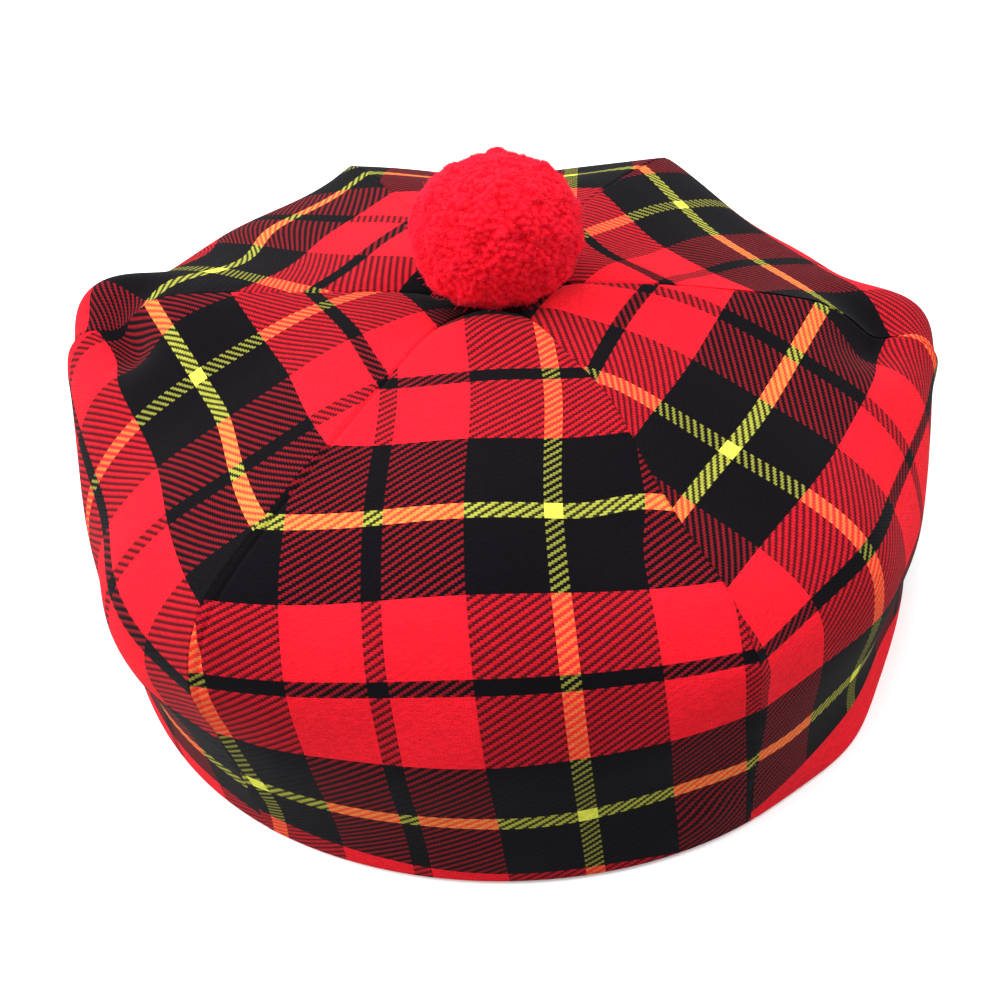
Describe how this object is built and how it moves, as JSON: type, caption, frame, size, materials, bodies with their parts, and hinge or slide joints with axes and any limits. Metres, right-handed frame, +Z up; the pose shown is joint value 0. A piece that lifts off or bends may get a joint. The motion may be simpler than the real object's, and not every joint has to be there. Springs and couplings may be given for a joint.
{
  "type": "tam o' shanter",
  "caption": "Tam o' shanter bonnet: shaped tartan cloth gores sewn into a broad full crown that stands on its open rim, with a red cut-yarn pompom on top.",
  "frame": {"origin": "centre of the rim, on the surface that the hat rests on", "axes": "+Z up through the crown to the pompom, -Y towards the hat's front, +X to the right as seen from the front"},
  "size_m": [0.2027, 0.1983, 0.1048],
  "materials": {
    "tartan": "matte twill, tartan of red and black with yellow lines",
    "pompom_yarn": "matte cut yarn"
  },
  "bodies": {
    "root": {"gore_front": "tartan", "gore_front_right": "tartan", "gore_back_right": "tartan", "gore_back": "tartan", "gore_back_left": "tartan", "gore_front_left": "tartan", "pompom": "pompom_yarn"}
  },
  "joints": []
}
